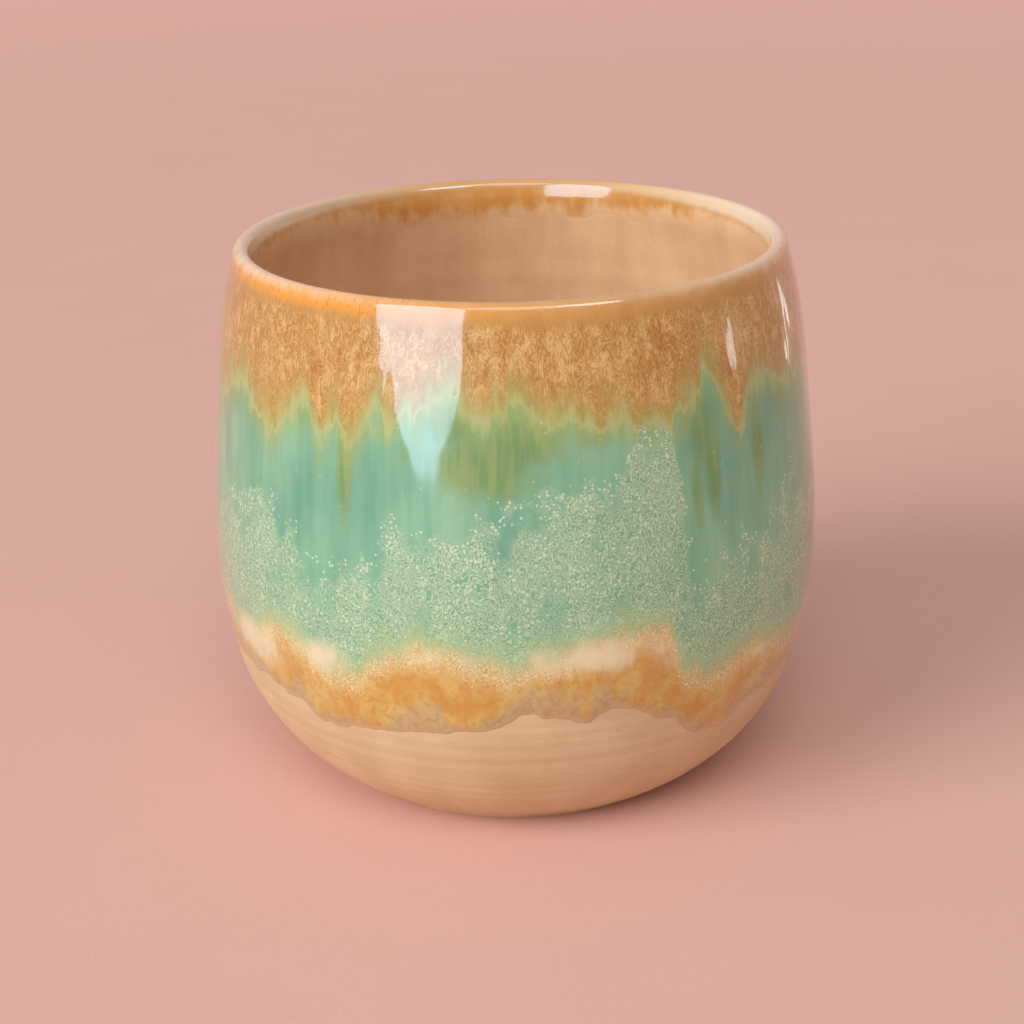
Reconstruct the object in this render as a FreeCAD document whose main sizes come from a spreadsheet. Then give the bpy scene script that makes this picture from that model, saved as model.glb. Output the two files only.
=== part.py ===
import FreeCAD, Part
import math
import os
import re
import Sketcher

# A round-bellied stoneware cachepot, thrown on a wheel and glazed in coats.
# Lengths are millimetres and angles are degrees. The origin is on the ground, on
# the pot's axis, and +Z is up. Each sub-part is one section turned round the axis.

SIZES = [
    ("pot_height", 132.4, "clay, from the ground to the top of the rim"),
    ("belly_radius", 74.65, "clay, at its widest"),
    ("belly_height", 62.0, "height of the widest place"),
    ("lip_radius", 65.95, "clay, outside of the rounded rim"),
    ("foot_radius", 47.7, "clay, outside of the foot"),
    ("flare_angle", 30.0, "slope of the wall where it leaves the foot"),
    ("belly_start", 9.7, "angle below level where the foot's curve meets the belly's"),
    ("neck_turn", 1.4, "angle by which the upper wall is steeper than the chord from belly to lip"),
    ("neck_share", 0.544, "share of the wall above the belly that curves in to the rim"),
    ("wall", 5.3, "clay wall"),
    ("rim_round", 1.6, "radius over the top of the rim"),
    ("lip_curve", 13.4, "radius of the slow rounding inside the rim"),
    ("floor_thickness", 5.0, "clay floor"),
    ("foot_land", 0.7, "upright edge of the foot"),
    ("foot_ease", 0.25, "bevel under that edge"),
    ("foot_ring", 7.0, "width of the ring that the pot stands on"),
    ("recess_depth", 1.5, "hollow under the floor"),
    ("first_coat", 0.35, "base glaze outside and liner glaze inside"),
    ("top_coat", 0.25, "tan glaze over both"),
    ("glaze_line", 35.0, "height at which the base glaze stopped running"),
    ("drip_share", 0.675, "depth of the tan glaze's outer edge against the rise of the neck's curve"),
    ("overrun", 5.0, "how far the trimming cut passes the glaze that it cuts"),
]

# Worked out from the sizes in the same sheet, so that the curves meet whatever changes.
DERIVED = [
    ("rise_x", "cos(belly_start * 1 deg) - sin(flare_angle * 1 deg)"),
    ("rise_z", "cos(flare_angle * 1 deg) - sin(belly_start * 1 deg)"),
    ("round_x", "1 - cos(belly_start * 1 deg)"),
    ("round_z", "sin(belly_start * 1 deg)"),
    ("foot_to_belly_x", "belly_radius - foot_radius"),
    ("foot_to_belly_z", "belly_height - foot_land"),
    ("curve_area", "rise_x * round_z - rise_z * round_x"),
    ("foot_curve", "(foot_to_belly_x * round_z - foot_to_belly_z * round_x) / curve_area"),
    ("belly_curve", "(rise_x * foot_to_belly_z - rise_z * foot_to_belly_x) / curve_area"),
    ("chord", "atan((belly_radius - lip_radius) / (pot_height - belly_height)) / 1 deg"),
    ("taper", "chord - neck_turn"),
    ("across_x", "lip_radius - rim_round - belly_radius + belly_curve"),
    ("across_z", "pot_height - rim_round - belly_height"),
    ("wall_run", "across_z * cos(taper * 1 deg) - across_x * sin(taper * 1 deg)"),
    ("wall_out", "across_x * cos(taper * 1 deg) + across_z * sin(taper * 1 deg)"),
    ("neck_in", "belly_curve - rim_round - wall_out"),
    ("neck_rise", "neck_share * wall_run"),
    ("neck_curve", "rim_round + (neck_rise ^ 2 + neck_in ^ 2) / (2 * neck_in)"),
    ("drip_depth", "drip_share * neck_rise"),
]
NAMES = [row[0] for row in SIZES + DERIVED]
ALIASES = re.compile(r"\b(" + "|".join(NAMES) + r")\b")

ENDS = ("curve", "start", "end", "centre")
LINES = ("sketch", "ground", "axis")
ORIGIN = ("ground", "start")

doc = FreeCAD.newDocument("cachepot")
sheet = doc.addObject("Spreadsheet::Sheet", "Sizes")
for row, (alias, value, note) in enumerate(SIZES, start=1):
    sheet.set(f"A{row}", alias)
    sheet.set(f"B{row}", str(value))
    sheet.set(f"C{row}", note)
    sheet.setAlias(f"B{row}", alias)
for row, (alias, formula) in enumerate(DERIVED, start=len(SIZES) + 1):
    sheet.set(f"A{row}", alias)
    sheet.set(f"B{row}", f"={formula}")
    sheet.setAlias(f"B{row}", alias)
doc.recompute()


def size(alias):
    """A size as the sheet holds it."""
    return float(sheet.get(alias))


def vector(across, up):
    return FreeCAD.Vector(across, up, 0)


def toward(angle):
    """The unit vector at an angle, in radians, from the radius."""
    return vector(math.cos(angle), math.sin(angle))


def angle_at(centre, radius, height):
    """The angle at which a circle round this centre reaches a height, on its outer side."""
    return math.asin((height - centre.y) / radius)


class Curves:
    """Where the clay's outline has its curves: each one's centre, radius and ends.

    The sketches start from these places, and their constraints then hold the curves
    to the sheet. From the foot up these are base, belly, upper wall, neck and rim, and
    then lip, down inside the rim.
    """

    def __init__(self):
        foot = vector(size("foot_radius"), size("foot_land"))
        self.foot_angle = math.radians(size("flare_angle")) - math.pi / 2
        self.base_end = -math.radians(size("belly_start"))
        self.base_radius = size("foot_curve")
        self.base = foot - toward(self.foot_angle) * self.base_radius

        self.belly_radius = size("belly_curve")
        self.belly = vector(size("belly_radius") - self.belly_radius, size("belly_height"))
        self.taper = math.radians(size("taper"))

        self.rim_radius = size("rim_round")
        self.rim = vector(size("lip_radius") - self.rim_radius, size("pot_height") - self.rim_radius)
        self.neck_radius = size("neck_curve")
        inset = size("neck_in") + self.rim_radius - self.neck_radius
        along = toward(self.taper + math.pi / 2)
        self.neck = self.rim + toward(self.taper) * inset - along * size("neck_rise")
        self.neck_end = math.atan2(self.rim.y - self.neck.y, self.rim.x - self.neck.x)
        reach = self.neck_radius - self.rim_radius

        self.lip_radius = size("lip_curve")
        offset = self.lip_radius - self.rim_radius
        span = self.neck_radius - size("wall") + self.lip_radius
        turn = math.acos((reach**2 + offset**2 - span**2) / (2 * reach * offset))
        self.rim_end = self.neck_end + turn
        self.lip = self.rim - toward(self.rim_end) * offset
        self.inner_end = math.atan2(self.lip.y - self.neck.y, self.lip.x - self.neck.x)


class Section:
    """A sketch on the body's XZ plane: X is the radius and Y the height."""

    def __init__(self, body, name):
        self.sketch = body.newObject("Sketcher::SketchObject", name)
        planes = [plane for plane in body.Origin.OriginFeatures if plane.Role == "XZ_Plane"]
        self.sketch.AttachmentSupport = [(planes[0], "")]
        self.sketch.MapMode = "FlatFace"
        self.sketch.Visibility = False

    def arc(self, centre, radius, start, end, guide=False):
        circle = Part.Circle(centre, FreeCAD.Vector(0, 0, 1), radius)
        return self.sketch.addGeometry(Part.ArcOfCircle(circle, start, end), guide)

    def line(self, start, end, guide=False):
        return self.sketch.addGeometry(Part.LineSegment(start, end), guide)

    def join(self, first, second, guide=False):
        """A line between two ends, given as (curve, end), that stays on both."""
        line = self.line(self.point(*first), self.point(*second), guide)
        self.tie("Coincident", (line, "start"), first)
        self.tie("Coincident", (line, "end"), second)
        return line

    def number(self, part):
        """The sketcher's own number for an end or for a line through the origin."""
        if part in LINES:
            return -LINES.index(part)
        return ENDS.index(part) if part in ENDS else part

    def point(self, curve, end):
        return self.sketch.getPoint(self.number(curve), self.number(end))

    def constraint(self, kind, *parts):
        """A constraint between curves, their ends, and its value where it has one."""
        return Sketcher.Constraint(kind, *[self.number(part) for part in parts])

    def tie(self, kind, *ends):
        """A constraint that has no value."""
        self.sketch.addConstraint(self.constraint(kind, *[part for end in ends for part in end]))

    def hold(self, name, constraint, formula):
        """A dimension that follows a formula of the sheet's sizes."""
        self.sketch.renameConstraint(self.sketch.addConstraint(constraint), name)
        self.sketch.setExpression(f"Constraints.{name}", ALIASES.sub(r"Sizes.\1", formula))

    def across(self, name, first, second, formula):
        gap = self.point(*second) - self.point(*first)
        self.hold(name, self.constraint("DistanceX", *first, *second, gap.x), formula)

    def up(self, name, first, second, formula):
        gap = self.point(*second) - self.point(*first)
        self.hold(name, self.constraint("DistanceY", *first, *second, gap.y), formula)

    def apart(self, name, first, second, formula):
        gap = self.point(*second) - self.point(*first)
        self.hold(name, self.constraint("Distance", *first, *second, gap.Length), formula)

    def radius(self, name, arc, formula):
        radius = self.sketch.Geometry[arc].Radius
        self.hold(name, self.constraint("Radius", arc, radius), formula)

    def slope(self, name, line, formula):
        run = self.point(line, "end") - self.point(line, "start")
        self.hold(name, self.constraint("Angle", line, math.atan2(run.y, run.x)), formula)


class Outline:
    """The clay's outline from the foot up, over the rim and in, held by the sheet.

    The curves named in real bound the solid, and the others are guides for them.
    """

    def __init__(self, section, real):
        curves = Curves()
        self.curves = curves
        lower = curves.belly + toward(curves.taper) * curves.belly_radius
        upper = curves.neck + toward(curves.taper) * curves.neck_radius
        widest_place = curves.belly + vector(curves.belly_radius, 0)

        def arc(name, centre, radius, start, end):
            return section.arc(centre, radius, start, end, name not in real)

        self.base = arc("base", curves.base, curves.base_radius, curves.foot_angle, curves.base_end)
        self.belly = arc("belly", curves.belly, curves.belly_radius, curves.base_end, curves.taper)
        self.wall = section.line(lower, upper, "wall" not in real)
        self.neck = arc("neck", curves.neck, curves.neck_radius, curves.taper, curves.neck_end)
        self.rim = arc("rim", curves.rim, curves.rim_radius, curves.neck_end, curves.rim_end)
        self.lip = arc("lip", curves.lip, curves.lip_radius, curves.rim_end, curves.inner_end + math.pi)
        widest = section.sketch.addGeometry(Part.Point(widest_place), True)

        section.tie("Tangent", (self.base, "end"), (self.belly, "start"))
        section.tie("Tangent", (self.belly, "end"), (self.wall, "start"))
        section.tie("Tangent", (self.wall, "end"), (self.neck, "start"))
        section.tie("Tangent", (self.neck, "end"), (self.rim, "start"))
        section.tie("Tangent", (self.rim, "end"), (self.lip, "start"))
        section.across("foot_radius", ORIGIN, (self.base, "start"), "foot_radius")
        section.up("foot_land", ORIGIN, (self.base, "start"), "foot_land")
        spoke = section.join((self.base, "centre"), (self.base, "start"), True)
        section.slope("flare", spoke, "flare_angle * 1 deg - 90 deg")
        spoke = section.join((self.base, "centre"), (self.base, "end"), True)
        section.slope("belly_start", spoke, "-belly_start * 1 deg")
        section.tie("PointOnObject", (widest, "start"), (self.belly,))
        section.tie("Horizontal", (self.belly, "centre"), (widest, "start"))
        section.across("belly_radius", ORIGIN, (widest, "start"), "belly_radius")
        section.up("belly_height", ORIGIN, (widest, "start"), "belly_height")
        section.slope("taper", self.wall, "90 deg + taper * 1 deg")
        section.radius("neck_curve", self.neck, "neck_curve")
        section.radius("rim_round", self.rim, "rim_round")
        section.across("rim_across", ORIGIN, (self.rim, "centre"), "lip_radius - rim_round")
        section.up("rim_up", ORIGIN, (self.rim, "centre"), "pot_height - rim_round")
        section.radius("lip_curve", self.lip, "lip_curve")
        thickness = "neck_curve - wall + lip_curve"
        section.apart("wall", (self.neck, "centre"), (self.lip, "centre"), thickness)


class Skin:
    """The surface at some coats' depth off the clay: over the rim, and either side down from it."""

    def __init__(self, section, outline, name="clay", coats=(), real=()):
        self.section = section
        self.outline = outline
        self.name = name
        self.coats = coats
        self.depth = sum(size(coat) for coat in coats)
        self.rim, self.lip = outline.rim, outline.lip
        if coats:
            curves = outline.curves
            radius = curves.rim_radius + self.depth
            self.rim = section.arc(curves.rim, radius, curves.neck_end, curves.rim_end, "rim" not in real)
            radius = curves.lip_radius + self.depth
            end = curves.inner_end + math.pi
            self.lip = section.arc(curves.lip, radius, curves.rim_end, end, "lip" not in real)
            section.tie("Coincident", (self.rim, "centre"), (outline.rim, "centre"))
            section.tie("Coincident", (self.lip, "centre"), (outline.lip, "centre"))
            section.tie("Tangent", (self.rim, "end"), (self.lip, "start"))
            section.radius(f"{name}_rim", self.rim, " + ".join(["rim_round", *coats]))

    def offset(self, side):
        """How far this surface lies outside the clay's outer one, on side 1 or inside, -1."""
        return self.depth if side > 0 else -size("wall") - self.depth

    def neck(self, side, low):
        """The neck's arc, from an angle up to the rim outside, or to the lip inside."""
        curves = self.outline.curves
        high = curves.neck_end if side > 0 else curves.inner_end
        neck = self.section.arc(curves.neck, curves.neck_radius + self.offset(side), low, high)
        self.section.tie("Coincident", (neck, "centre"), (self.outline.neck, "centre"))
        self.section.tie("Tangent", (neck, "end"), (self.rim, "start") if side > 0 else (self.lip, "end"))
        return neck

    def side(self, side, low):
        """One whole side, from the neck down to a height on the base curve: its lowest arc."""
        curves = self.outline.curves
        section = self.section
        offset = self.offset(side)
        neck = self.neck(side, curves.taper)
        foot = curves.belly + toward(curves.taper) * (curves.belly_radius + offset)
        head = curves.neck + toward(curves.taper) * (curves.neck_radius + offset)
        wall = section.line(foot, head)
        belly = section.arc(curves.belly, curves.belly_radius + offset, curves.base_end, curves.taper)
        radius = curves.base_radius + offset
        base = section.arc(curves.base, radius, angle_at(curves.base, radius, low), curves.base_end)
        section.tie("Tangent", (wall, "end"), (neck, "start"))
        section.tie("Parallel", (wall,), (self.outline.wall,))
        section.tie("Coincident", (belly, "centre"), (self.outline.belly, "centre"))
        section.tie("Tangent", (belly, "end"), (wall, "start"))
        section.tie("Coincident", (base, "centre"), (self.outline.base, "centre"))
        section.tie("Tangent", (base, "end"), (belly, "start"))
        return base

    def bowl(self):
        """The inner side and the floor under it: the floor's line."""
        low = size("recess_depth") + size("floor_thickness") + self.depth
        base = self.side(-1, low)
        floor = self.section.line(vector(0, low), self.section.point(base, "start"))
        self.section.tie("Coincident", (floor, "end"), (base, "start"))
        self.section.tie("Horizontal", (floor,))
        self.section.tie("PointOnObject", (floor, "start"), ("axis",))
        height = " + ".join(["recess_depth", "floor_thickness", *self.coats])
        self.section.up(f"{self.name}_floor", ORIGIN, (floor, "start"), height)
        return floor


def new_body(name):
    body = doc.addObject("PartDesign::Body", name)
    body.Label = name
    body.Placement = FreeCAD.Placement()
    return body


def turned(body, section, kind="PartDesign::Revolution"):
    """One full turn of a closed section round the pot's axis, added or cut."""
    doc.recompute()
    feature = body.newObject(kind, f"{section.sketch.Name}_turn")
    feature.Profile = section.sketch
    feature.ReferenceAxis = (section.sketch, ["V_Axis"])
    feature.Angle = 360
    doc.recompute()
    return feature


def make_stoneware_body():
    """The clay pot: a foot ring round a shallow hollow, a bellied wall and a rounded rim."""
    body = new_body("stoneware_body")
    section = Section(body, "clay_section")
    outline = Outline(section, {"base", "belly", "wall", "neck", "rim", "lip"})
    floor = Skin(section, outline).bowl()

    foot, land, ease = size("foot_radius"), size("foot_land"), size("foot_ease")
    recess, depth = foot - size("foot_ring"), size("recess_depth")
    corners = [(foot, land), (foot, ease), (foot - ease, 0), (recess, 0), (recess, depth), (0, depth)]
    places = [vector(*corner) for corner in corners]
    edge, bevel, sole, step, ceiling = [section.line(*ends) for ends in zip(places, places[1:])]
    chain = [edge, bevel, sole, step, ceiling]
    section.tie("Coincident", (edge, "start"), (outline.base, "start"))
    for before, after in zip(chain, chain[1:]):
        section.tie("Coincident", (before, "end"), (after, "start"))
    section.join((ceiling, "end"), (floor, "start"))
    section.tie("Vertical", (edge,))
    section.tie("Vertical", (step,))
    section.tie("PointOnObject", (sole, "start"), ("ground",))
    section.tie("PointOnObject", (sole, "end"), ("ground",))
    section.tie("Horizontal", (ceiling,))
    section.tie("PointOnObject", (ceiling, "end"), ("axis",))
    section.up("foot_ease", ORIGIN, (bevel, "start"), "foot_ease")
    section.across("sole_across", ORIGIN, (sole, "start"), "foot_radius - foot_ease")
    section.across("recess_across", ORIGIN, (step, "end"), "foot_radius - foot_ring")
    section.up("recess_depth", ORIGIN, (step, "end"), "recess_depth")
    turned(body, section)
    return body


def make_liner_glaze():
    """The coat inside, from the rounding of the rim down the wall and over the floor."""
    body = new_body("liner_glaze")
    section = Section(body, "liner_section")
    outline = Outline(section, {"lip"})
    coat = Skin(section, outline, "coat", ["first_coat"], {"lip"})
    clay_floor = Skin(section, outline).bowl()
    coat_floor = coat.bowl()
    section.join((outline.lip, "start"), (coat.lip, "start"))
    section.join((clay_floor, "start"), (coat_floor, "start"))
    turned(body, section)
    return body


def make_base_glaze():
    """The outer coat over the whole wall and the rim, trimmed where it stopped running."""
    body = new_body("base_glaze")
    section = Section(body, "base_glaze_section")
    outline = Outline(section, {"base", "belly", "wall", "neck", "rim"})
    coat = Skin(section, outline, "coat", ["first_coat"], {"rim"})
    base = coat.side(1, size("foot_land"))
    foot_edge = section.join((outline.base, "start"), (base, "start"))
    section.tie("Horizontal", (foot_edge,))
    section.join((outline.rim, "end"), (coat.rim, "end"))
    whole = turned(body, section)

    trim = Section(body, "run_line_section")
    beyond, below = size("belly_radius") + size("overrun"), -size("overrun")
    corners = [(0, below), (beyond, below), (beyond, size("glaze_line")), (0, size("glaze_line"))]
    places = [vector(*corner) for corner in corners]
    sides = [trim.line(*ends) for ends in zip(places, places[1:] + places[:1])]
    for before, after in zip(sides, sides[1:] + sides[:1]):
        trim.tie("Coincident", (before, "end"), (after, "start"))
    trim.tie("Horizontal", (sides[0],))
    trim.tie("Vertical", (sides[1],))
    trim.tie("Horizontal", (sides[2],))
    trim.tie("PointOnObject", (sides[3], "start"), ("axis",))
    trim.tie("PointOnObject", (sides[3], "end"), ("axis",))
    trim.up("glaze_line", ORIGIN, (sides[2], "end"), "glaze_line")
    trim.up("below", (sides[0], "start"), ORIGIN, "overrun")
    trim.across("beyond", ORIGIN, (sides[1], "start"), "belly_radius + overrun")
    cut = turned(body, trim, "PartDesign::Groove")
    if cut.Shape.Volume >= whole.Shape.Volume:
        raise RuntimeError("the trimming cut took nothing off the base glaze")
    return body


def make_top_glaze():
    """The tan coat over the rim, outside down to its drip edge and inside over the rounding."""
    body = new_body("top_glaze")
    section = Section(body, "top_glaze_section")
    outline = Outline(section, set())
    curves = outline.curves
    height = size("pot_height") - size("drip_depth")
    under = Skin(section, outline, "under", ["first_coat"], {"rim", "lip"})
    over = Skin(section, outline, "over", ["first_coat", "top_coat"], {"rim", "lip"})
    drip_ends = []
    for skin in (under, over):
        low = angle_at(curves.neck, curves.neck_radius + skin.depth, height)
        drip_ends.append((skin.neck(1, low), "start"))
    drip_edge = section.join(*drip_ends)
    section.tie("Horizontal", (drip_edge,))
    section.up("drip_up", ORIGIN, drip_ends[1], "pot_height - drip_depth")
    inner_edge = section.join((under.lip, "end"), (over.lip, "end"))
    section.tie("PointOnObject", (outline.lip, "centre"), (inner_edge,))
    section.tie("PointOnObject", (outline.neck, "centre"), (inner_edge,))
    turned(body, section)
    return body


sub_parts = [make_stoneware_body(), make_liner_glaze(), make_base_glaze(), make_top_glaze()]

doc.recompute()
for item in doc.Objects:
    if {"Invalid", "Error"} & set(item.State):
        raise RuntimeError(f"{item.Label} failed: {item.State}")
os.makedirs("parts", exist_ok=True)
for body in sub_parts:
    if body.Shape.isNull() or not body.Shape.isValid() or len(body.Shape.Solids) != 1:
        raise RuntimeError(f"{body.Label} is not one sound solid")
for body in sub_parts:
    body.Shape.exportStep(f"parts/{body.Label}.step")
    box = body.Shape.optimalBoundingBox(False, False)
    sides = f"{box.XLength:.2f} wide, from {box.ZMin:.2f} to {box.ZMax:.2f} up"
    print(f"{body.Label}: {body.Shape.Volume:.1f} mm3, {sides}")
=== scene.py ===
import math

import bpy
import numpy as np
from mathutils import Matrix, Vector


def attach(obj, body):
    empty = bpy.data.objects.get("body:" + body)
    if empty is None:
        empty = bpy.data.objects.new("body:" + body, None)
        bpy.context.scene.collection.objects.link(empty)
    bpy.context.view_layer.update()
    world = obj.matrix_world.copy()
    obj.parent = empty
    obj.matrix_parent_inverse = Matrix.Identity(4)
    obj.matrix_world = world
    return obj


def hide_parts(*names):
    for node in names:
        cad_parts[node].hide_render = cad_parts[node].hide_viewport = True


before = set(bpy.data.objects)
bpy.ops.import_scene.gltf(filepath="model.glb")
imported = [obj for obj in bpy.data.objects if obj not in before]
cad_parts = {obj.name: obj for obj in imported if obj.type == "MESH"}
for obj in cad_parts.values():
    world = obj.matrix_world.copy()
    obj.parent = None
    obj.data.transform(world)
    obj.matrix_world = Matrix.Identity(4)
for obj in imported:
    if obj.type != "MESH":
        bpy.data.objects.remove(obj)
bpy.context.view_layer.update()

# The clay pot: pale stoneware, thrown on a wheel and turned under the belly, where it is
# left bare below the glaze. Its foot is a flat ring round a shallow hollow. Every other
# piece is a coat on this one, so its outline, in millimetres, carries them too.

CURVES = (  # centre across and up, radius, first and last angle, and 1 outside or -1 inside
    (22.205, 44.860, 50.991, -60.0, -9.7, 1),
    (-78.070, 62.0, 152.72, -9.7, 5.645, 1),
    (-97.911, 84.992, 170.2, 5.645, 15.765, 1),
    (64.35, 130.8, 1.6, 15.765, 159.928, 1),
    (75.433, 126.750, 13.4, 159.928, 193.544, 1),
    (-97.911, 84.992, 164.9, 13.544, 5.645, -1),
    (-78.070, 62.0, 147.42, 5.645, -9.7, -1),
    (22.205, 44.860, 45.691, -9.7, -57.09, -1),
)
FLOOR = 6.5  # how high the clay's floor lies
SPACING = 0.1  # from one place on the outline to the next


def outline():
    """Where the clay's outline runs and which way it faces, from the foot over the rim to the floor."""
    places = []
    for across, up, radius, first, last, side in CURVES:
        count = int(abs(math.radians(last - first)) * radius / SPACING) + 2
        for angle in np.radians(np.linspace(first, last, count)):
            facing = np.array((math.cos(angle), math.sin(angle)))
            places.append((*(facing * radius + (across, up)), *(facing * side)))
    places += [(x, FLOOR, 0, 1) for x in np.linspace(places[-1][0] - 0.5, 0, 60)]
    places = np.array(places)
    steps = np.hypot(*np.diff(places[:, :2], axis=0).T)
    return np.concatenate(([0], np.cumsum(steps))), places


ALONG, PLACES = outline()
CROWN = ALONG[np.argmax(PLACES[:, 1])]
PER_METRE = 1000  # everything on the wall is measured in millimetres
WELD = 1e-6  # vertices closer than this, in metres, become one


def on_wall(along, depth):
    """The radius and height at a distance along the outline, at some depth of glaze off it."""
    x, z, out, up = (np.interp(along, ALONG, column) for column in PLACES.T)
    return x + out * depth, z + up * depth


def outside(height):
    """How far along the outline its outer side reaches a height."""
    outer = ALONG <= CROWN
    return np.interp(height, PLACES[outer, 1], ALONG[outer])


def inside(height):
    """How far along the outline its inner side comes down to a height."""
    inner = ALONG >= CROWN
    return np.interp(-np.asarray(height), -PLACES[inner, 1], ALONG[inner])


def keep(piece, word, numbers):
    """Gives a piece an attribute, with a number to each vertex."""
    kept = piece.data.attributes.new(word, "FLOAT", "POINT")
    kept.data.foreach_set("value", numbers.astype(np.float32))


def turned(name, along, depth, steps, foot=()):
    """A closed section, given along the outline and off it, turned once round the pot's axis."""
    radius, height = on_wall(np.asarray(along), np.asarray(depth))
    radius = np.concatenate((radius, [x for x, _ in foot]))
    height = np.concatenate((height, [z for _, z in foot]))
    bpy.ops.object.select_all(action="DESELECT")
    bpy.ops.mesh.primitive_circle_add(vertices=len(radius), radius=0.1)
    piece = bpy.context.object
    piece.name = piece.data.name = name
    spots = np.stack((radius, np.zeros_like(radius), height), -1) / PER_METRE
    piece.data.vertices.foreach_set("co", spots.ravel())
    off_wall = np.full(len(foot), -1.0)
    keep(piece, "along", np.concatenate((along, off_wall)))
    keep(piece, "depth", np.concatenate((depth, off_wall)))
    whole = piece.modifiers.new("turn", "SCREW")
    whole.steps = whole.render_steps = steps
    whole.use_merge_vertices = True
    whole.merge_threshold = WELD
    whole.use_normal_calculate = True
    bpy.ops.object.modifier_apply(modifier="turn")
    bpy.ops.object.mode_set(mode="EDIT")
    bpy.ops.mesh.select_all(action="SELECT")
    bpy.ops.mesh.remove_doubles(threshold=WELD)
    bpy.ops.mesh.normals_make_consistent(inside=False)
    bpy.ops.object.mode_set(mode="OBJECT")
    bpy.ops.object.shade_smooth()
    return piece


def spots_of(piece):
    """The place of each vertex, in metres."""
    spots = np.empty(len(piece.data.vertices) * 3, dtype=np.float32)
    piece.data.vertices.foreach_get("co", spots)
    return spots.reshape(-1, 3)


def numbers_of(piece, word):
    """A piece's numbers for one attribute, a number to each vertex."""
    numbers = np.empty(len(piece.data.vertices), dtype=np.float32)
    piece.data.attributes[word].data.foreach_get("value", numbers)
    return numbers.astype(float)


def laid_out(piece):
    """Each vertex's angle from the front towards the right, place along the outline and depth."""
    x, y, _ = spots_of(piece).T
    return np.degrees(np.arctan2(x, -y)), numbers_of(piece, "along"), numbers_of(piece, "depth")


def settle(piece, turn, along, depth, **attributes):
    """Moves what lies on the wall to new places there, and gives the piece its attributes."""
    spots = spots_of(piece)
    radius, height = on_wall(along, depth)
    angle = np.radians(turn)
    moved = np.stack((radius * np.sin(angle), -radius * np.cos(angle), height), -1) / PER_METRE
    on_the_wall = along >= 0
    spots[on_the_wall] = moved[on_the_wall]
    piece.data.vertices.foreach_set("co", spots.ravel())
    for word, numbers in attributes.items():
        keep(piece, word, numbers)
    piece.data.update()


GIRTH = 2 * math.pi * 74  # round the belly
PEAK = 1.6  # what a sum of waves seldom passes, in parts of its usual size


def ripple(seed, turn, up, across, tall, count=14):
    """Soft unevenness from -1 to 1, with waves about this many millimetres across and tall."""
    source = np.random.default_rng(seed)
    total = np.zeros(np.broadcast(turn, up).shape)
    for _ in range(count):
        times = round(GIRTH / across * source.uniform(0.5, 1.5))
        lean = 2 * math.pi / tall * source.uniform(-1.2, 1.2)
        total += np.cos(np.radians(turn) * times + up * lean + source.uniform(0, 2 * math.pi))
    return total / math.sqrt(count / 2) / PEAK


class Value:
    """A socket of a material that adds and multiplies as a number does."""

    def __init__(self, recipe, socket):
        self.recipe, self.socket = recipe, socket

    def math(self, operation, *others):
        parts = dict(enumerate((self, *others)))
        return self.recipe.node("ShaderNodeMath", {"operation": operation}, parts)

    def __add__(self, other):
        return self.math("ADD", other)

    def __mul__(self, other):
        return self.math("MULTIPLY", other)

    def __sub__(self, other):
        return self.math("SUBTRACT", other)

    def __rsub__(self, other):
        return self.recipe.node("ShaderNodeMath", {"operation": "SUBTRACT"}, {0: other, 1: self})

    __radd__ = __add__
    __rmul__ = __mul__

    def between(self, low, high):
        """0 up to low and 1 from high, or the other way round, with a soft step between."""
        settings = {"interpolation_type": "SMOOTHSTEP"}
        if low > high:
            return 1 - self.between(high, low)
        parts = {"Value": self, "From Min": low, "From Max": high}
        return self.recipe.node("ShaderNodeMapRange", settings, parts)


def linear(part):
    """One part of a colour, from the 0 to 255 scale to the light that a shader takes."""
    part = part / 255
    return part / 12.92 if part <= 0.04045 else ((part + 0.055) / 1.055) ** 2.4


def paint(red, green, blue):
    """A colour, mixed on the 0 to 255 scale, as a shader takes it."""
    return (linear(red), linear(green), linear(blue), 1)


BELLY = 74.6  # the clay's radius where the pot is widest


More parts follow.
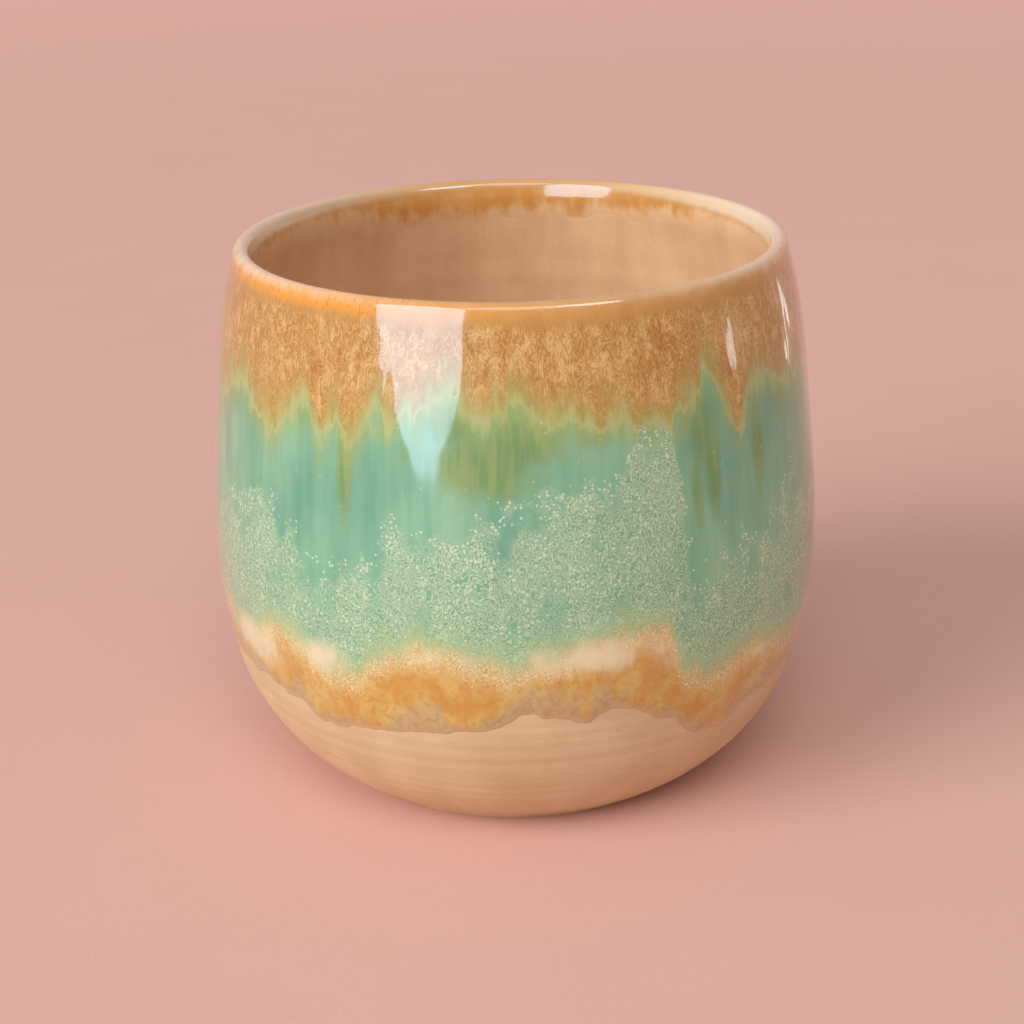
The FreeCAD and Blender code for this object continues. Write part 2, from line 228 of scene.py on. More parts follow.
class Recipe:
    """The nodes of one finish."""

    def __init__(self, name):
        self.material = bpy.data.materials.new(name)
        self.material.use_nodes = True
        self.tree = self.material.node_tree
        self.tree.nodes.clear()
        place = self.node("ShaderNodeTexCoord", output="Object")
        self.place = self.vector("MULTIPLY", place, (PER_METRE, PER_METRE, PER_METRE))

    def node(self, kind, settings=None, inputs=None, output=0):
        """A node with its settings, then its sockets' values or links."""
        made = self.tree.nodes.new(kind)
        for word, setting in (settings or {}).items():
            setattr(made, word, setting)
        for socket, value in (inputs or {}).items():
            if isinstance(value, Value):
                self.tree.links.new(value.socket, made.inputs[socket])
            else:
                made.inputs[socket].default_value = value
        return Value(self, made.outputs[output])

    def vector(self, operation, first, second=(0, 0, 0)):
        return self.node("ShaderNodeVectorMath", {"operation": operation}, {0: first, 1: second})

    def wall(self, height=1.0):
        """The place on the wall, the same all the way up it, with its height times a number."""
        ring = self.vector("NORMALIZE", self.vector("MULTIPLY", self.place, (1, 1, 0)))
        ring = self.vector("MULTIPLY", ring, (BELLY, BELLY, 0))
        return self.vector("ADD", ring, self.vector("MULTIPLY", self.place, (0, 0, height)))

    def number(self, word):
        return self.node("ShaderNodeAttribute", {"attribute_name": word}, output="Fac")

    def noise(self, place, size, detail=2.0, distortion=0.0, roughness=0.5):
        """Cloudy noise of about this many millimetres, round 0.5."""
        parts = {"Vector": place, "Scale": 1 / size, "Detail": detail}
        parts |= {"Roughness": roughness, "Distortion": distortion}
        return self.node("ShaderNodeTexNoise", {}, parts)

    def mix(self, factor, first, second):
        """The first colour, or the second where the factor is 1."""
        settings = {"data_type": "RGBA", "clamp_factor": True}
        return self.node("ShaderNodeMix", settings, {0: factor, 6: first, 7: second}, output=2)

    def bump(self, height, depth):
        """Relief of this many millimetres."""
        parts = {"Strength": 1.0, "Distance": depth / PER_METRE, "Height": height}
        return self.node("ShaderNodeBump", {}, parts)

    def finish(self, **sockets):
        """The shader itself, its sockets named with a line between words."""
        parts = {word.replace("_", " "): value for word, value in sockets.items()}
        shader = self.node("ShaderNodeBsdfPrincipled", {}, parts)
        surface = self.tree.nodes.new("ShaderNodeOutputMaterial").inputs["Surface"]
        self.tree.links.new(shader.socket, surface)
        return self.material


BARE_TOP = 52.0  # no bare clay shows above this
FOOT = (  # radius and height, from the middle of the hollow to where the outline starts
    (0, 1.5), (20.0, 1.5), (39.9, 1.5), (40.55, 1.35), (40.7, 0.9), (40.75, 0.25), (41.0, 0.04),
    (41.5, 0.0), (44.0, 0.0), (47.0, 0.0), (47.35, 0.05), (47.6, 0.2), (47.7, 0.45),
)
rows = np.concatenate((  # close together where the clay is bare, wide apart under the glazes
    np.arange(0.0, outside(BARE_TOP), 0.42), np.linspace(outside(BARE_TOP), outside(126.0), 22),
    np.linspace(outside(127.0), inside(120.0), 26), np.linspace(inside(116.0), ALONG[-1], 40),
))
clay = turned("stoneware", rows, np.zeros_like(rows), steps=384, foot=FOOT)
turn, along, depth = laid_out(clay)
bare = (along > 0) & (along < outside(BARE_TOP))
fade = np.clip(along / 4, 0, 1) * np.clip((outside(BARE_TOP) - along) / 8, 0, 1)
rings = 0.035 * ripple(3, turn, along, 900, 3.4) + 0.05 * ripple(4, turn, along, 500, 11)
settle(clay, turn, along, np.where(bare, rings * fade, depth))

recipe = Recipe("bare_stoneware")
lines = recipe.vector("MULTIPLY", recipe.place, (0.05, 0.05, 2.4))
turning = recipe.noise(lines, 1.0, 3.0)
fine = recipe.noise(recipe.place, 0.45, 3.0)
cloud = recipe.noise(recipe.wall(), 14.0, 3.0)
grog = recipe.noise(recipe.place, 0.8, 0.0)
colour = recipe.mix(cloud.between(0.3, 0.7), paint(210, 181, 139), paint(219, 192, 152))
colour = recipe.mix(turning.between(0.45, 0.75) * 0.22, colour, paint(200, 164, 122))
colour = recipe.mix(fine.between(0.55, 0.8) * 0.25, colour, paint(228, 206, 174))
colour = recipe.mix(grog.between(0.74, 0.8) * 0.18, colour, paint(164, 128, 92))
clay.data.materials.append(recipe.finish(
    Base_Color=colour, Roughness=0.62 + 0.2 * turning, Specular_IOR_Level=0.35,
    Normal=recipe.bump(turning + 0.5 * fine, depth=0.05),
))
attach(clay, "root")
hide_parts("stoneware_body")

# The liner: a satin beige glaze that was poured into the pot and tipped out. It covers
# the inside from the rounding of the rim down over the floor, and faint rings from the
# throwing show through it.

LINER_COAT = 0.35
SUNK = -0.08  # a coat's back lies this deep in the clay, so that no gap shows


def shell(rows, thick, back, every, lap=()):
    """A coat's closed section: its face along the rows, then its back, along fewer of them."""
    section = np.concatenate((rows, rows[::-1][::every], lap))
    return section, np.where(np.arange(len(section)) < len(rows), thick, back)


rows = np.linspace(inside(131.4), ALONG[-1], 170)
liner = turned("liner_coat", *shell(rows, LINER_COAT, SUNK, every=4), steps=384)
turn, along, depth = laid_out(liner)
fade = np.clip((along - rows[0] - 12) / 10, 0, 1) * np.clip((ALONG[-1] - along) / 10, 0, 1)
rings = 0.10 * ripple(11, turn, along, 700, 9) + 0.05 * ripple(12, turn, along, 60, 25)
settle(liner, turn, along, np.where(depth > 0, depth + rings * fade, depth))

recipe = Recipe("satin_beige_glaze")
upright = recipe.vector("MULTIPLY", recipe.place, (1, 1, 0.4))
cloud = recipe.noise(upright, 11.0, 4.0)
speckle = recipe.noise(recipe.place, 1.3, 3.0)
rub = recipe.noise(upright, 4.0, 3.0)
colour = recipe.mix(cloud.between(0.3, 0.72), paint(224, 182, 140), paint(236, 197, 154))
colour = recipe.mix(speckle.between(0.5, 0.8) * 0.3, colour, paint(206, 166, 122))
colour = recipe.mix(rub.between(0.5, 0.75) * 0.25, colour, paint(238, 208, 172))
liner.data.materials.append(recipe.finish(
    Base_Color=colour, Roughness=0.34 + 0.12 * cloud,
    Normal=recipe.bump(speckle + cloud, depth=0.05),
))
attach(liner, "root")
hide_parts("liner_glaze")

# The base glaze: a glossy reactive glaze dipped over the whole outside. It is turquoise
# green where it is thick, throws pale crystals lower down, and breaks to cream and amber
# where it thins out along its wandering lower edge.

RUN_LINE = (  # angle from the front towards the right, and height, as in the lines below
    (-180, 34), (-160, 37), (-143, 33), (-128, 36), (-112, 31), (-97, 35), (-82, 37), (-66, 36.5),
    (-52, 36), (-45.3, 34.5), (-39.5, 30.8), (-33, 31.8), (-24.3, 33.5), (-14.5, 34.9), (-8, 35.8),
    (-3.6, 37.2), (0.8, 40.7), (6, 39.2), (12.4, 37.4), (17.8, 40.6), (23, 37.4), (28.3, 33.6),
    (35.3, 27.0), (42.2, 26.1), (48.4, 30.3), (56, 31), (66, 33), (80, 37), (95, 34), (108, 36),
    (124, 31), (137, 34), (152, 37), (167, 32), (180, 34),
)
CREAM_LINE = (
    (-180, 50), (-165, 54), (-150, 49), (-136, 52), (-120, 47), (-105, 51), (-90, 54), (-72, 53),
    (-64, 47), (-57, 46.5), (-50, 53), (-43, 51.5), (-36, 46.5), (-30, 46.5), (-24, 53), (-18, 56),
    (-10, 55), (-2, 51.5), (5, 54), (13, 56.5), (20, 59), (27, 58), (29, 48), (36.5, 42), (42, 45),
    (49, 47), (57, 43), (65, 42), (73, 46), (90, 51), (110, 48), (130, 53), (150, 47), (166, 51), (180, 50),
)
CRYSTAL_LINE = (
    (-180, 80), (-160, 88), (-145, 76), (-128, 86), (-110, 78), (-90, 84), (-72, 77), (-57, 83),
    (-46, 86), (-38, 74), (-32, 77), (-25, 80), (-18, 88), (-12, 83), (-5, 88), (1, 91), (10, 93),
    (17, 96), (23, 103), (29, 104), (31, 78), (33, 73), (39, 75), (46, 73), (52, 77), (59, 86),
    (66, 80), (80, 76), (100, 86), (118, 78), (136, 90), (156, 76), (180, 80),
)
DRIP_LINE = (
    (-180, 112), (-165, 108), (-150, 113), (-135, 109), (-118, 113), (-100, 108), (-85, 111), (-72, 105),
    (-62, 109.5), (-57, 108), (-52, 104), (-49, 103.5), (-45, 109.5), (-40, 110.5), (-36.5, 104), (-33, 111),
    (-30.5, 103), (-27, 110.5), (-22, 110), (-18, 112), (-14, 114.5), (-10, 117), (-5.5, 110), (-2, 112),
    (2, 114), (6, 109.5), (10, 107.5), (14, 109), (17, 111), (20, 109.5), (24, 108), (28, 104.5),
    (32, 112), (37, 116.5), (41, 109), (44.5, 101), (47, 109.5), (53, 112), (58, 109.5), (65, 110.5),
    (72, 107), (88, 112), (104, 107), (120, 112), (137, 108), (153, 113), (167, 107), (180, 112),
)
OLIVE = (  # angle, height, half width in degrees, half height, strength, as in the dabs below
    (-5, 99, 9, 8, 0.9), (1, 105, 8, 8, 0.8), (-10, 109, 6, 8, 0.8), (-3, 112, 4, 5, 0.7),
    (20, 108, 6, 3, 0.5), (-31, 96, 1.6, 13, 0.9), (35, 101, 4, 9, 0.6), (37, 92, 2, 12, 0.8),
    (33, 88, 1.5, 12, 0.6), (49, 95, 2.4, 12, 0.7), (-50, 103, 5, 4, 0.7), (-40, 106, 5, 4, 0.5),
    (57, 104, 3, 8, 0.5), (-19, 102, 2, 6, 0.4), (14, 104, 5, 3, 0.5),
    (-64, 104, 5, 5, 0.5), (-95, 104, 6, 8, 0.8), (-120, 106, 8, 7, 0.8), (-150, 102, 3, 12, 0.8),
    (172, 106, 9, 8, 0.8), (140, 104, 2.4, 12, 0.8), (112, 106, 7, 7, 0.7), (84, 103, 2.4, 12, 0.7),
)
SPARSE = (
    (35, 62, 5, 12, 0.9), (46, 58, 4, 10, 0.5), (-30, 76, 4, 6, 0.8), (-10, 80, 3, 5, 0.5),
    (-43, 62, 4, 7, 0.3), (66, 60, 5, 12, 0.4), (-100, 64, 8, 9, 0.8), (-140, 60, 6, 10, 0.7),
    (160, 62, 7, 10, 0.8), (125, 58, 5, 9, 0.7),
)
DENSE = (
    (-20, 70, 4, 14, 0.9), (4, 76, 9, 12, 0.8), (27, 88, 3.4, 14, 1.0), (12, 60, 12, 8, 0.6),
    (-52, 70, 9, 9, 0.5), (41, 88, 3, 2.4, 0.9), (59, 76, 6, 9, 0.5), (-34, 60, 5, 8, 0.5),
    (-85, 72, 8, 10, 0.7), (-125, 76, 8, 12, 0.8), (150, 74, 8, 12, 0.8), (105, 72, 9, 12, 0.8),
)
BRIGHT = (
    (-57, 46, 9, 5, 1.0), (-37, 50, 6, 4, 1.0), (13, 54, 12, 4, 1.0), (-14, 55, 8, 3, 0.5),
    (28, 52, 3, 5, 0.5), (2, 51, 4, 2, 0.5), (-110, 48, 7, 3, 0.9), (-150, 50, 6, 3, 0.9),
    (150, 48, 7, 3, 0.9), (110, 50, 6, 3, 0.9), (49, 44, 5, 2, 0.4),
)
BURNT = (
    (-47, 48, 3.5, 4, 0.9), (-20, 47, 8, 4, 1.0), (-33, 41, 6, 5, 0.7), (-8, 42, 5, 5, 0.6),
    (13, 41, 5, 3.4, 0.8), (34, 36, 4, 5, 1.0), (40, 31, 4, 4, 0.8), (60, 35, 9, 4, 0.8),
    (-72, 41, 7, 3, 0.7), (-95, 42, 8, 5, 0.9), (-130, 41, 7, 5, 0.9), (175, 42, 8, 5, 0.9),
    (130, 42, 7, 5, 0.9), (90, 41, 7, 5, 0.9),
)


def line_at(turn, line):
    """The height of a line round the pot, drawn softly through its points."""
    angles, heights = np.array(line, dtype=float).T
    near = np.arange(-180, 180, 0.5)
    drawn = np.interp(near, angles, heights)
    weights = ((-2, 1), (-1, 2), (0, 3), (1, 2), (2, 1))
    soft = sum(np.roll(drawn, shift) * weight for shift, weight in weights) / 9
    return np.interp(turn, np.append(near, 180), np.append(soft, soft[0]))


def off_from(turn, angle):
    """How many degrees round the pot a place lies from an angle, the shorter way."""
    return (turn - angle + 180) % 360 - 180


def dabs(turn, height, places):
    """Where a glaze is laid on in dabs: from 0 to the strength of the nearest one."""
    total = np.zeros_like(turn)
    for angle, level, wide, tall, strength in places:
        across, up = off_from(turn, angle) / wide, (height - level) / tall
        total = np.maximum(total, strength * np.exp(-(across ** 2) - up ** 2))
    return total


def fingers(seed, turn, count, widths, lengths):
    """How far short runs of glaze hang below their line, in millimetres."""
    source = np.random.default_rng(seed)
    total = np.zeros_like(turn)
    for angle in source.uniform(-180, 180, count):
        wide, long = source.uniform(*widths), source.uniform(*lengths) * source.uniform(0.3, 1)
        total = np.maximum(total, long * np.clip(1 - (off_from(turn, angle) / wide) ** 2, 0, 1) ** 0.7)
    return total


def run_edge(turn):
    """The height at which the base glaze stopped running."""
    return line_at(turn, RUN_LINE) + 0.5 * ripple(21, turn, 0, 11, 9) + 0.16 * ripple(22, turn, 0, 4, 9)


def above_drips(turn, height):
    """How far above the ragged, round-lobed line of the drips a place lies, in millimetres."""
    return height - line_at(turn, DRIP_LINE) + 1.4 - fingers(35, turn, 90, (1.6, 3.6), (1.5, 5.5))


def swell(turn, along, height):
    """The soft unevenness of the glaze's surface, which fades out towards the rim."""
    waves = (0.036 * ripple(24, turn, height, 18, 60) + 0.005 * ripple(25, turn, height, 7, 26)
             + 0.004 * ripple(26, turn, height, 2.4, 7))
    return waves * np.clip((CROWN - along) / 14, 0, 1)


def stretched(along, fixed, old, new):
    """Places along the outline, spread out from a fixed one so that an old end comes to a new one."""
    return fixed + (along - fixed) * (new - fixed) / (old - fixed)


BASE_COAT = 0.35
low, pin = outside(35.0), outside(62.0)  # the section's lower edge, and where its stretch ends
rows = np.concatenate((  # closest at the rounded lower edge
    low + np.array((0, 0.15, 0.35, 0.6, 0.9, 1.3, 1.8, 2.4, 3.1)),
    np.arange(low + 3.9, outside(128.0), 1.02), np.linspace(outside(128.5), inside(132.35), 14),
))
base = turned("base_coat", *shell(rows, BASE_COAT, SUNK, every=5, lap=[rows[0] + 0.3]), steps=720)
turn, along, depth = laid_out(base)
edge = outside(run_edge(turn))
along = np.where(along < pin, stretched(along, pin, low, edge), along)
above = along - edge
height = on_wall(along, 0)[1]
bead = 0.05 * np.exp(-((above - 3.2) / 2.0) ** 2) + 0.15 * np.exp(-((above - 10) / 6) ** 2)
coat = BASE_COAT + bead + swell(turn, along, height) * np.clip(above / 8, 0, 1)
coat *= np.clip(above / 3.0, 0, 1) ** 0.7
settle(
    base, turn, along, np.where(depth > 0, coat, depth),
    over_run=above, over_cream=height - line_at(turn, CREAM_LINE),
    under_crystals=line_at(turn, CRYSTAL_LINE) - height, over_drips=above_drips(turn, height),
    olive=dabs(turn, height, OLIVE), bright=dabs(turn, height, BRIGHT), burnt=dabs(turn, height, BURNT),
    crowd=dabs(turn, height, DENSE) - dabs(turn, height, SPARSE),
)


def waved(noise, lines, crumb, crumbs):
    """Fine winding lines, from 0 to 1, that follow the levels of a noise."""
    return (noise * lines + crumb * crumbs).math("SINE") * 0.5 + 0.5


def shared_noises(recipe):
    """The noises that both outer glazes take, so that neither shows where the other ends."""
    crumb = recipe.noise(recipe.wall(), 1.5, 3.0)
    return {
        "streak": recipe.noise(recipe.wall(0.10), 2.2, 3.0),
        "flame": recipe.noise(recipe.wall(0.33), 3.6, 3.0, 0.5),
        "ragged": recipe.noise(recipe.wall(0.8), 5.0, 4.0),
        "cloud": recipe.noise(recipe.wall(0.6), 16.0, 3.0),
        "wide_streak": recipe.noise(recipe.wall(0.16), 9.0, 2.0),
        "crumb": crumb,
        "curls": waved(recipe.noise(recipe.wall(0.4), 2.0, 2.0, 0.6), 54, crumb, 12),
    }


def run_together(recipe, streak, flame, ragged, cloud, wide_streak, crumb, curls, smooth=0.0):
    """The green glaze and the tan one as they run into each other."""
    clump = recipe.noise(recipe.wall(0.5), 3.0, 3.0, 1.0)
    rough = 1 - 0.6 * smooth
    tan = recipe.mix(cloud.between(0.35, 0.65), paint(184, 137, 64), paint(192, 151, 82))
    tan = recipe.mix(streak.between(0.45, 0.75) * 0.5, tan, paint(174, 118, 48))
    tan = recipe.mix(clump.between(0.48, 0.68) * rough * 0.65, tan, paint(220, 184, 120))
    tan = recipe.mix(clump.between(0.45, 0.3) * rough * 0.55, tan, paint(176, 112, 42))
    tan = recipe.mix(curls.between(0.5, 1.0) * rough * (0.1 + 0.6 * clump), tan, paint(230, 198, 146))
    tan = recipe.mix(curls.between(0.45, 0.0) * rough * 0.35, tan, paint(156, 100, 44))
    tan = recipe.mix(smooth * 0.6, tan, paint(190, 140, 78))

    green = recipe.mix(cloud.between(0.3, 0.7), paint(108, 168, 142), paint(136, 190, 156))
    green = recipe.mix(streak.between(0.35, 0.75) * 0.3, green, paint(82, 150, 118))
    green = recipe.mix(wide_streak.between(0.5, 0.8) * 0.55, green, paint(160, 204, 168))
    drips = recipe.number("over_drips") + 11 * (flame - 0.5) + 3 * (streak - 0.5)
    drips += 5 * (ragged - 0.5) + 0.7 * (curls - 0.5)
    dab = recipe.number("olive")
    olive = (dab + 0.6 * (streak - 0.5) + 0.5 * (ragged - 0.5)).between(0.05, 0.7)
    shade = recipe.mix(streak.between(0.4, 0.6), paint(112, 150, 90), paint(140, 164, 100))
    green = recipe.mix(olive * dab.between(0.04, 0.4) * 0.85, green, shade)
    green = recipe.mix(drips.between(-12.0, -1.0) * 0.75, green, paint(156, 176, 104))
    dark = drips.between(-6.0, 0.0) * streak.between(0.5, 0.62)
    green = recipe.mix(dark * 0.6, green, paint(136, 148, 70))
    pale = drips.between(-7.0, -2.0) * streak.between(0.52, 0.42)
    green = recipe.mix(pale * 0.5, green, paint(200, 204, 146))
    outline = drips.between(-4.0, -2.2) * drips.between(-0.2, -1.8) * streak.between(0.42, 0.58)
    green = recipe.mix(outline * 0.5, green, paint(200, 208, 146))
    tan = recipe.mix(drips.between(8.0, 0.0) * 0.6, tan, paint(176, 156, 84))
    return recipe.mix(drips.between(-4.6, 3.4), green, tan)


recipe = Recipe("reactive_green_glaze")
noises = shared_noises(recipe)
streak, ragged, cloud = noises["streak"], noises["ragged"], noises["cloud"]
wide_streak, crumb = noises["wide_streak"], noises["crumb"]
green = run_together(recipe, **noises)
over_run, over_cream = recipe.number("over_run"), recipe.number("over_cream")
under_crystals, crowd = recipe.number("under_crystals"), recipe.number("crowd")

thick = (under_crystals + 14 * (ragged - 0.5) + 7 * crowd).between(-4.0, 16.0)
cells = {"Vector": recipe.wall(), "Scale": 1.0, "Randomness": 1.0}
crystals = {"feature": "F1"}
spot = recipe.node("ShaderNodeTexVoronoi", crystals, cells, "Distance")
pick = recipe.node("ShaderNodeTexVoronoi", crystals, cells, "Color")
pick = recipe.node("ShaderNodeSeparateColor", {}, {0: pick})
clear = recipe.noise(recipe.wall(0.6), 7.0, 2.0)
share = thick.between(0.0, 0.3) * (0.12 + 1.2 * ragged.between(0.45, 0.6))
share *= 0.4 + 0.6 * thick.between(0.9, 0.4)
dots = spot.between(0.40, 0.24) * (pick - share).between(0.03, -0.03)
maze = waved(recipe.noise(recipe.wall(0.8), 1.9, 1.5, 0.8), 50, crumb, 14)
grown = thick + 1.8 * (clear - 0.5) + 1.2 * (ragged - 0.5) + 1.4 * (wide_streak - 0.5)
grown = grown.between(0.15, 0.85) * thick.between(0.0, 0.2)
pale_worms = maze.between(0.4, 1.0) * grown * (0.35 + 1.3 * wide_streak)
pits = maze.between(0.4, 0.0) * grown
green = recipe.mix(grown * (0.3 + 0.7 * clear), green, paint(150, 190, 158))
green = recipe.mix(grown * crowd.between(0.2, 0.9) * 0.35, green, paint(172, 200, 176))
green = recipe.mix(pits * 0.45, green, paint(88, 150, 118))
green = recipe.mix(pale_worms * 0.8, green, paint(192, 214, 178))
green = recipe.mix(dots * 0.7, green, paint(214, 230, 206))

drop = over_cream + 7 * (ragged - 0.5) + 6 * (streak - 0.5) + 1.5 * (crumb - 0.5)
colour = recipe.mix(drop.between(9.0, 1.0) * 0.6, green, paint(176, 200, 138))
cream = recipe.mix(cloud.between(0.35, 0.65), paint(194, 172, 114), paint(208, 188, 136))
colour = recipe.mix(drop.between(4.5, -3.0), colour, cream)
amber = recipe.mix(ragged.between(0.35, 0.65), paint(212, 178, 106), paint(204, 154, 78))
amber = recipe.mix(streak.between(0.5, 0.8) * 0.4, amber, paint(224, 196, 130))
amber = recipe.mix(crumb.between(0.5, 0.35) * 0.45, amber, paint(190, 136, 60))
colour = recipe.mix(drop.between(0.5, -6.0), colour, amber)
burnt = recipe.number("burnt") * (0.4 + 1.2 * ragged)
colour = recipe.mix((burnt + 0.8 * (streak - 0.5)).between(0.15, 1.0) * 0.7, colour, paint(204, 146, 62))
lit = recipe.number("bright")
bright = lit + 1.6 * (clear - 0.5) + 1.2 * (ragged - 0.5) + 0.3 * (streak - 0.5)
bright = bright.between(0.0, 1.1) * lit.between(0.03, 0.4)
colour = recipe.mix(bright * 0.95, colour, paint(230, 218, 182))
fray = maze.between(0.4, 1.0) * drop.between(-7.0, -2.0) * drop.between(3.0, -1.5)
colour = recipe.mix(fray * 0.8, colour, paint(236, 220, 170))
veil = (over_run + 24 * (clear - 0.5)).between(6.0, 1.5)
colour = recipe.mix(veil * 0.6, colour, paint(190, 168, 134))
rings = (over_run * 1.7 + 30 * ragged).math("SINE").between(0.4, 1.0)
rings *= (over_run + 18 * (clear - 0.5)).between(7.0, 2.0)
colour = recipe.mix(rings * 0.32, colour, paint(160, 132, 94))
thin = (over_run + 2.4 * (ragged - 0.5)).between(2.0, 0.0)
colour = recipe.mix(thin * 0.7, colour, paint(200, 170, 130))
base.data.materials.append(recipe.finish(
    Base_Color=colour, Roughness=0.12 + 0.1 * dots + 0.15 * thin, Specular_IOR_Level=0.1,
    Normal=recipe.bump(dots * 0.5 + pale_worms * 0.3 + 0.3 * crumb + 0.1 * streak, depth=0.02),
    Coat_Weight=1.0, Coat_Roughness=0.06,
))
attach(base, "root")
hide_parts("base_glaze")

# The top glaze: a glossy tan glaze that the rim was dipped into last. It thins to pale
# cream on the crown and to amber beside it, sets in fine curled fibres, and ends in
# ragged drips outside and a short blotchy band inside. The cream on the crown is the glaze
# thinning there; its growth towards the left and right sides is a painted sheen.

TOP_COAT = 0.12
INNER_LINE = (
    (-180, 123), (-166, 122), (-153, 122.4), (-140, 125), (-121, 127), (-105, 125), (-90, 126), (-70, 124),
    (-50, 126), (-30, 124), (-10, 126), (10, 124), (30, 126), (50, 124), (75, 126), (95, 127), (110, 128),
    (120, 127.5), (135, 125.5), (152, 124), (166, 124.5), (180, 123),
)


def drip_edge(turn):
    """The height at which the top glaze ends outside, a little below where its tan shows."""
    return line_at(turn, DRIP_LINE) - fingers(23, turn, 150, (1.0, 2.4), (1.0, 4.0))


low, pin = outside(112.0), outside(124.0)  # the section's outer edge, and where its stretch ends
far, turn_in = inside(124.0), inside(130.6)  # the same inside the pot
rows = np.concatenate((  # closest at the two edges
    low + np.array((0, 0.15, 0.35, 0.6, 0.9, 1.3, 1.8)), np.arange(low + 2.4, outside(131.0), 0.5),
    np.linspace(outside(131.0) + 0.1, inside(131.0), 18), np.arange(inside(131.0) + 0.35, far - 0.3, 0.5),
    far - np.array((0.3, 0.15, 0)),
))
section = shell(rows, BASE_COAT + TOP_COAT, back=0.1, every=3, lap=[rows[0] + 0.2])
top = turned("top_coat", *section, steps=960)
turn, along, depth = laid_out(top)
edge = outside(drip_edge(turn))
inner = inside(line_at(turn, INNER_LINE) - fingers(31, turn, 60, (2.5, 6.0), (0.6, 2.2)))
along = np.where(along < pin, stretched(along, pin, low, edge), along)
along = np.where(along > turn_in, stretched(along, turn_in, far, inner), along)
height = on_wall(along, 0)[1]
nearest = np.minimum(along - edge, inner - along)
lump = 0.012 * ripple(32, turn, height, 6, 12) * np.clip(nearest / 3, 0, 1)
lump *= np.clip(np.abs(along - CROWN) / 5, 0, 1)
coat = BASE_COAT + swell(turn, along, height) + lump
coat += TOP_COAT * np.clip((nearest - 0.4) / 9.0, 0, 1) ** 1.2
coat -= 0.06 * np.clip(1 - nearest / 0.5, 0, 1)
settle(
    top, turn, along, np.where(depth > 0.3, coat, np.where(nearest < 0.4, 0.25, 0.1)),
    over_drips=np.where(along > CROWN, 20, above_drips(turn, height)), olive=dabs(turn, height, OLIVE),
    over_inner=inner - along, past_crown=along - CROWN,
    # The crown's cream grows towards the left and right sides: that growth is a painted sheen.
    pale_rim=0.12 + 0.88 * np.sin(np.radians(turn)) ** 2, warm=0.5 + 0.5 * np.exp(-((turn + 48) / 40) ** 2),
)

recipe = Recipe("tan_dripped_glaze")
past_crown, over_inner = recipe.number("past_crown"), recipe.number("over_inner")
wander = recipe.noise(recipe.wall(0.8), 4.0, 3.0)
smooth = (past_crown + 5 * (wander - 0.5)).between(-7.4, -4.2)
noises = shared_noises(recipe)
streak, ragged = noises["streak"], noises["ragged"]
cloud, curls = noises["cloud"], noises["curls"]
colour = run_together(recipe, **noises, smooth=smooth)
warm = recipe.number("warm")
amber = (past_crown + 3 * (ragged - 0.5)).between(-5.6, -2.4)
colour = recipe.mix(amber * (0.35 + 0.7 * ragged), colour, paint(208, 156, 88))
colour = recipe.mix(amber * (warm - 0.5) * 1.8, colour, paint(238, 160, 60))
specks = recipe.noise(recipe.wall(0.3), 0.5, 1.0).between(0.6, 0.68) * amber * warm.between(0.6, 0.95)
colour = recipe.mix(specks * 0.6, colour, paint(150, 96, 46))
# Pale cream on the crown, where the glaze thins; its growth towards the left and right sides is a painted
# sheen.
pale_rim = recipe.number("pale_rim")
crown = past_crown + 2.4 * (ragged - 0.5) + 1.6 * (wander - 0.5)
cream = crown.between(-3.4, 0.0) * (crown - 2.2 * pale_rim).between(4.0, 0.8)
colour = recipe.mix(cream * pale_rim, colour, paint(240, 220, 194))
within = (past_crown - 2.2 * pale_rim).between(1.4, 3.4)
band = recipe.mix(streak.between(0.45, 0.7) * 0.4, paint(214, 156, 88), paint(222, 174, 114))
patch = (ragged + 0.15 * (streak - 0.5) + 0.5 * (cloud - 0.5)).between(0.36, 0.6)
patch *= (over_inner + 7 * (wander - 0.5)).between(0.5, 5.0)
band = recipe.mix(patch * 0.65, band, paint(200, 136, 60))
colour = recipe.mix(within, colour, band)
fade_out = (over_inner + 9 * (ragged - 0.5) + 2 * (streak - 0.5)).between(5.5, 0.8) * within
colour = recipe.mix(fade_out, colour, paint(228, 187, 144))
top.data.materials.append(recipe.finish(
    Base_Color=colour, Roughness=0.12 + 0.08 * curls + 0.2 * fade_out, Specular_IOR_Level=0.15,
    Normal=recipe.bump(curls * (1 - 0.75 * smooth) + 0.1 * streak, depth=0.014),
    Coat_Weight=1 - fade_out, Coat_Roughness=0.06,
))
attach(top, "root")
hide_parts("top_glaze")

# The studio: the pot stands on wide matt pink paper. A broad soft lamp far off at the
# left lights it, a weaker one above fills the shade, and an oval window, a skylight and
# two slits show only in the gloss. None of it is part of the pot.

BACKDROP = paint(217, 169, 159)
BLACK = (0, 0, 0, 1)
ROOM = (0.39, 0.352, 0.33, 1)
bpy.ops.object.select_all(action="DESELECT")
bpy.ops.mesh.primitive_plane_add(size=60)
paper = bpy.context.object
paper.name = "paper"
bpy.ops.object.transform_apply(location=True, rotation=True, scale=True)
recipe = Recipe("pink_paper")
mottle = recipe.noise(recipe.place, 60.0, 3.0)
tooth = recipe.noise(recipe.place, 0.8, 2.0)
colour = recipe.mix(mottle, paint(229, 183, 171), paint(225, 179, 167))
distance = recipe.node("ShaderNodeVectorMath", {"operation": "LENGTH"}, {0: recipe.place}, "Value")
far = distance.between(600.0, 2400.0)  # where the paper fades into the backdrop
paper.data.materials.append(recipe.finish(
    Base_Color=recipe.mix(far, colour, BLACK), Roughness=0.9, Specular_IOR_Level=0.2,
    Emission_Color=recipe.mix(far, BLACK, BACKDROP), Emission_Strength=1.0,
    Normal=recipe.bump(tooth, depth=0.05),
))


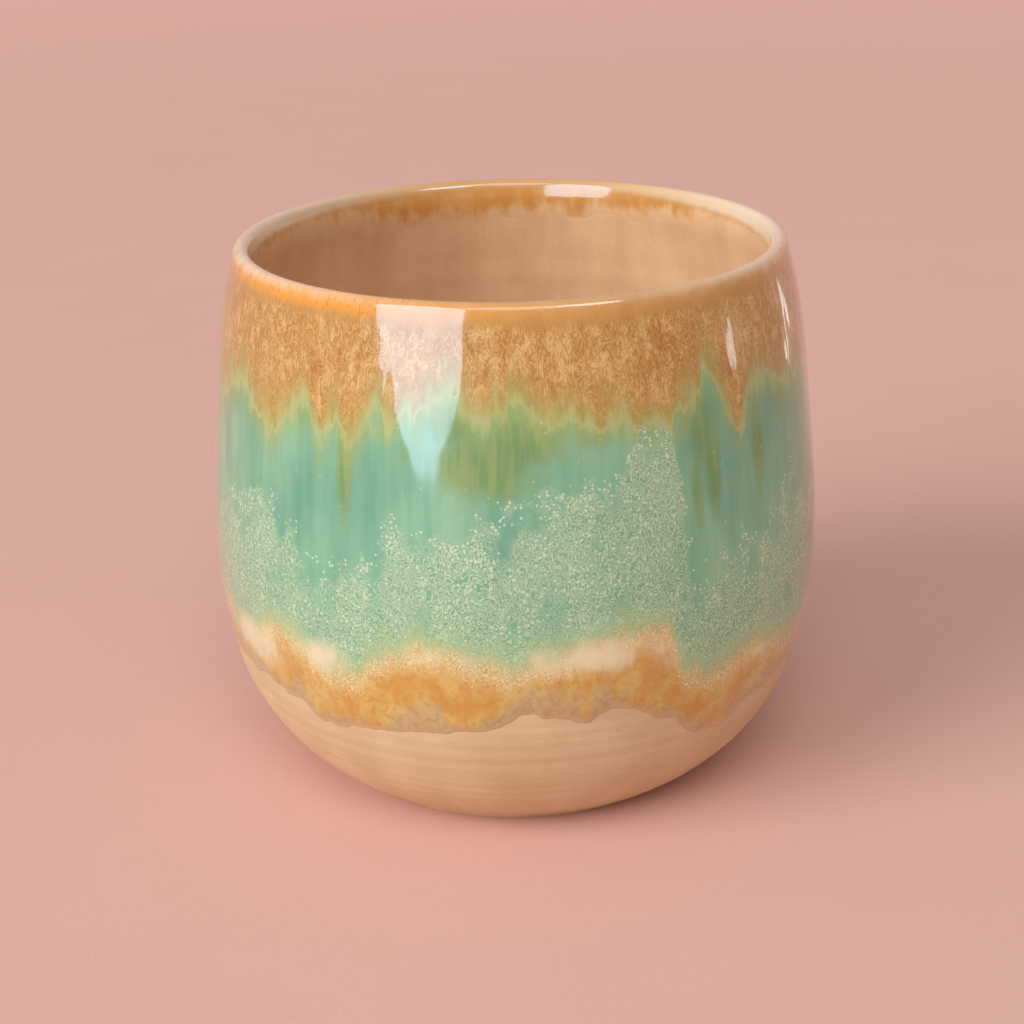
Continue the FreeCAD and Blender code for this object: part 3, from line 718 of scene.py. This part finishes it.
def lamp(name, aim, turn, rise, away, size, power, gloss=False, soft=True, roll=0.0, blue=0.99):
    """A soft lamp that looks at a place from a direction, for the gloss, the colour or both."""
    light = bpy.data.lights.new(name, "AREA")
    light.shape = "ELLIPSE"
    light.size, light.size_y = size
    light.energy = power
    light.color = (1.96 - blue, 0.98, blue)  # as much less red as there is more blue
    made = bpy.data.objects.new(name, light)
    bpy.context.scene.collection.objects.link(made)
    turn, rise = math.radians(turn), math.radians(rise)
    side = (math.sin(turn) * math.cos(rise), -math.cos(turn) * math.cos(rise), math.sin(rise))
    facing = Vector(side).to_track_quat("Z", "Y").to_matrix() @ Matrix.Rotation(math.radians(roll), 3, "Z")
    made.matrix_world = Matrix.Translation(Vector(aim) + Vector(side) * away) @ facing.to_4x4()
    made.visible_camera = False
    made.visible_glossy = gloss
    made.visible_diffuse = soft


MIDDLE = (0, 0, 0.06)
lamp("key", MIDDLE, -55, 27, away=14.0, size=(9.6, 9.6), power=1480.0)
lamp("fill", MIDDLE, 2, 50, away=12.0, size=(7.4, 7.4), power=440.0, gloss=True)
lamp("window", (-0.038, -0.056, 0.090), -35, 25, away=0.46, size=(0.30, 0.62), power=3.0,
     gloss=True, soft=False, roll=9, blue=1.27)
lamp("skylight", (0, 0, 0.130), 36, 44, away=0.50, size=(0.20, 0.20), power=0.8,
     gloss=True, soft=False, blue=1.14)
lamp("slit", (0.052, -0.050, 0.108), 92, 1, away=0.30, size=(0.030, 0.050), power=0.017,
     gloss=True, soft=False)
lamp("far_slit", (0.068, -0.030, 0.108), 134, -6, away=0.30, size=(0.016, 0.06), power=0.006,
     gloss=True, soft=False)

world = bpy.data.worlds.new("room")
bpy.context.scene.world = world
world.use_nodes = True
tree = world.node_tree
room = tree.nodes["Background"]
path = tree.nodes.new("ShaderNodeLightPath")
seen = tree.nodes.new("ShaderNodeMath")
seen.operation = "MAXIMUM"  # of what the camera sees and what the gloss shows
colour = tree.nodes.new("ShaderNodeMix")
colour.data_type = "RGBA"
colour.inputs[6].default_value = ROOM
colour.inputs[7].default_value = BACKDROP
tree.links.new(path.outputs["Is Camera Ray"], seen.inputs[0])
tree.links.new(path.outputs["Is Glossy Ray"], seen.inputs[1])
tree.links.new(seen.outputs[0], colour.inputs[0])
tree.links.new(colour.outputs[2], room.inputs["Color"])

# The camera: where the photograph was taken from, 0.53 m from the pot and 21 degrees
# above it.

camera = bpy.data.objects.new("camera", bpy.data.cameras.new("camera"))
bpy.context.scene.collection.objects.link(camera)
camera.data.sensor_width = 36.0
camera.data.lens = 70.3125  # as fitted to the photograph, like its place
right = (0.99977115, -0.00763075, -0.01998541)
up = (0.02139264, 0.35661798, 0.93400534)
away = (0.0, -0.93421913, 0.35669961)
camera.matrix_world = Matrix((
    (right[0], up[0], away[0], -0.000854), (right[1], up[1], away[1], -0.472865),
    (right[2], up[2], away[2], 0.241591), (0, 0, 0, 1),
))
camera.data.clip_start = 0.01
bpy.context.scene.camera = camera
bpy.context.scene.view_settings.view_transform = "Standard"
